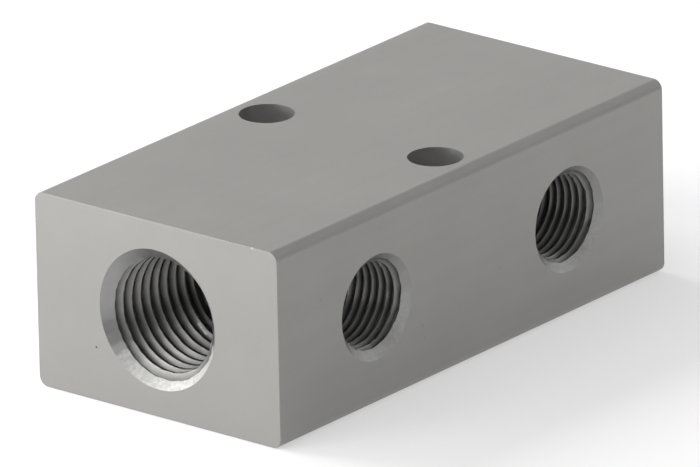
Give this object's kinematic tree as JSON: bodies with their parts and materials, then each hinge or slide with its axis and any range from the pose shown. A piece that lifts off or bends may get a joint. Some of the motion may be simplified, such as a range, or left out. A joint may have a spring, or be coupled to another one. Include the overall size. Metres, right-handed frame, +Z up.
{
  "type": "air manifold block",
  "caption": "Small aluminium air manifold bar with a tapped port at each end, smaller tapped ports along one side, and plain vertical mounting holes.",
  "frame": {"origin": "centre of the base, midway along the bar and midway across it", "axes": "+X along the bar from one end port to the other, -Y out of the face with the side ports, +Z up along the mounting holes"},
  "size_m": [0.06, 0.03, 0.02],
  "materials": {
    "satin_aluminium": "satin"
  },
  "bodies": {
    "root": {"manifold_block": "satin_aluminium"}
  },
  "joints": []
}
